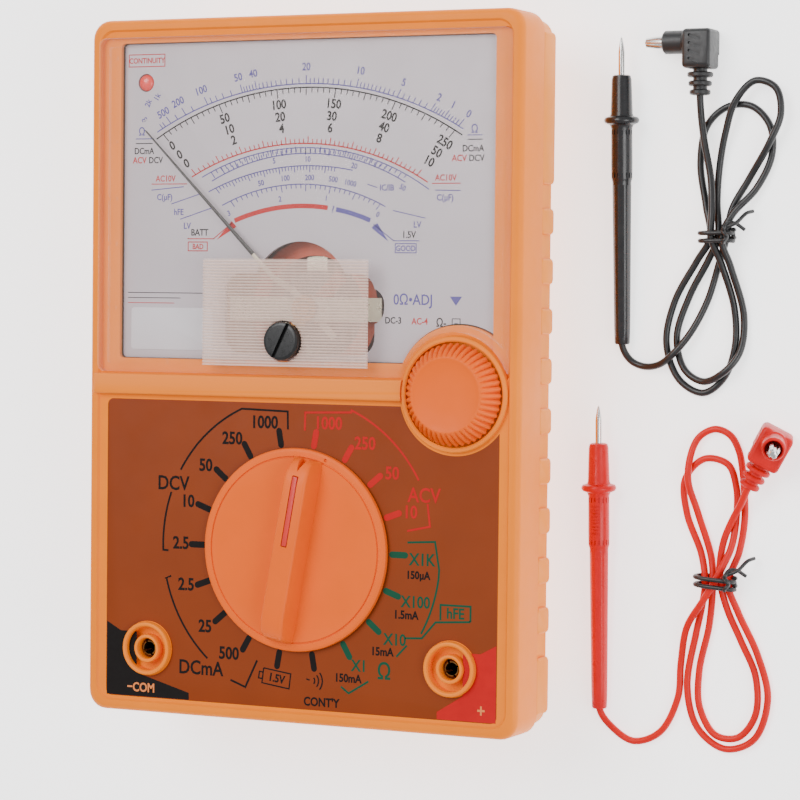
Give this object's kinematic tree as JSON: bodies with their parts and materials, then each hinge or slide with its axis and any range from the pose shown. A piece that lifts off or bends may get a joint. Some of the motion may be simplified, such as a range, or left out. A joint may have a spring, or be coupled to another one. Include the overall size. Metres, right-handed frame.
{
  "type": "analog multimeter",
  "caption": "Pocket analog multimeter with a moving-coil dial, rotary range switch, ohm-zero knob, two jacks and a pair of test leads with probes.",
  "frame": {"origin": "centre of the back face that the meter lies on, test leads left out", "axes": "+Z out of the dial, +Y towards the top of the dial, +X to the reader's right"},
  "size_m": [0.1522, 0.1537, 0.038],
  "materials": {
    "amber_case": "moulded, satin gloss",
    "amber_knob": "moulded, satin gloss",
    "clear_window": "clear, polished",
    "clear_ribbed": "clear, ribbed",
    "scale_print": "printed, satin",
    "panel_print": "printed, satin",
    "red_led": "diffused",
    "red_insert": "satin",
    "black_plastic": "moulded, satin",
    "black_lead": "soft, satin",
    "red_lead": "soft, satin",
    "black_probe": "moulded, gloss",
    "red_probe": "moulded, gloss",
    "white_plastic": "moulded",
    "steel": "plain",
    "plated": "nickel plated",
    "brass": "plain",
    "copper_coil": "enamelled copper winding",
    "yoke_iron": "zinc passivated",
    "board": "epoxy laminate, lacquered",
    "fuse_glass": "clear tube",
    "cell_case": "plain foil jacket",
    "cream_plastic": "painted"
  },
  "bodies": {
    "meter_case": {"front_case": "amber_case", "rear_cover": "amber_case", "case_screw_1": "steel", "case_screw_2": "steel", "window": "clear_window", "ribbed_strip": "clear_ribbed", "scale_plate": "scale_print", "continuity_led": "red_led", "panel_label": "panel_print", "potentiometer": "black_plastic", "black_jack_sleeve": "brass", "red_jack_sleeve": "brass", "circuit_board": "board", "buzzer": "brass", "fuse": "fuse_glass", "fuse_clip_1": "brass", "fuse_clip_2": "brass", "capacitor": "black_plastic", "battery_holder": "black_plastic", "cell_1": "cell_case", "cell_2": "cell_case", "cell_contact_1": "plated", "cell_contact_2": "plated", "movement_base": "black_plastic", "yoke_ring": "yoke_iron", "core_magnet": "yoke_iron", "core_clamp_1": "brass", "core_clamp_2": "brass", "upper_bridge": "steel", "upper_jewel_screw": "brass", "lower_jewel_screw": "brass", "lower_hairspring": "brass", "upper_hairspring": "brass"},
    "range_switch": {"range_knob": "amber_knob", "range_pointer": "red_insert", "switch_rotor": "white_plastic", "detent_ball": "steel", "detent_spring": "steel", "switch_brush_1": "brass", "switch_brush_2": "brass", "knob_screw": "steel"},
    "ohm_adjuster": {"ohm_zero_knob": "amber_knob", "pot_shaft": "white_plastic"},
    "zero_adjuster": {"zero_screw": "black_plastic"},
    "zero_lever": {"zero_arm": "steel"},
    "pointer_coil": {"pointer": "cream_plastic", "moving_coil": "copper_coil"},
    "black_lead": {"black_cord": "black_lead", "black_plug_body": "black_lead", "black_plug_pin": "plated", "black_probe_body": "black_probe", "black_probe_tip": "plated", "black_cord_tie": "black_plastic"},
    "red_lead": {"red_cord": "red_lead", "red_plug_body": "red_lead", "red_plug_pin": "plated", "red_probe_body": "red_probe", "red_probe_tip": "plated", "red_cord_tie": "black_plastic"}
  },
  "joints": [
    {"name": "range_knob_turn", "type": "hinge", "parent": "meter_case", "child": "range_switch", "pos_m": [0, -0.0379, 0.033], "axis": [0, 0, 1], "continuous": true},
    {"name": "ohm_zero_turn", "type": "hinge", "parent": "meter_case", "child": "ohm_adjuster", "pos_m": [0.0364, -0.0042, 0.034], "axis": [0, 0, 1], "range_deg": [-140, 140]},
    {"name": "zero_screw_turn", "type": "hinge", "parent": "meter_case", "child": "zero_adjuster", "pos_m": [-0.0025, 0.0062, 0.034], "axis": [0, 0, 1], "range_deg": [-50, 50]},
    {"name": "zero_arm_swing", "type": "hinge", "parent": "meter_case", "child": "zero_lever", "pos_m": [0, 0.013, 0.0292], "axis": [0, 0, 1], "range_deg": [-6.5, 6.5]},
    {"name": "pointer_swing", "type": "hinge", "parent": "meter_case", "child": "pointer_coil", "pos_m": [0, 0.013, 0.0265], "axis": [0, 0, 1], "range_deg": [-88, 0], "stiffness_Nm_per_rad": 0.000002},
    {"name": "black_lead_lift", "type": "slide", "parent": "meter_case", "child": "black_lead", "axis": [0, 0, 1], "range_m": [0, 0.1]},
    {"name": "red_lead_lift", "type": "slide", "parent": "meter_case", "child": "red_lead", "axis": [0, 0, 1], "range_m": [0, 0.1]}
  ],
  "couplings": [
    {"joint": "zero_arm_swing", "follows": "zero_screw_turn", "ratio": 0.12}
  ]
}
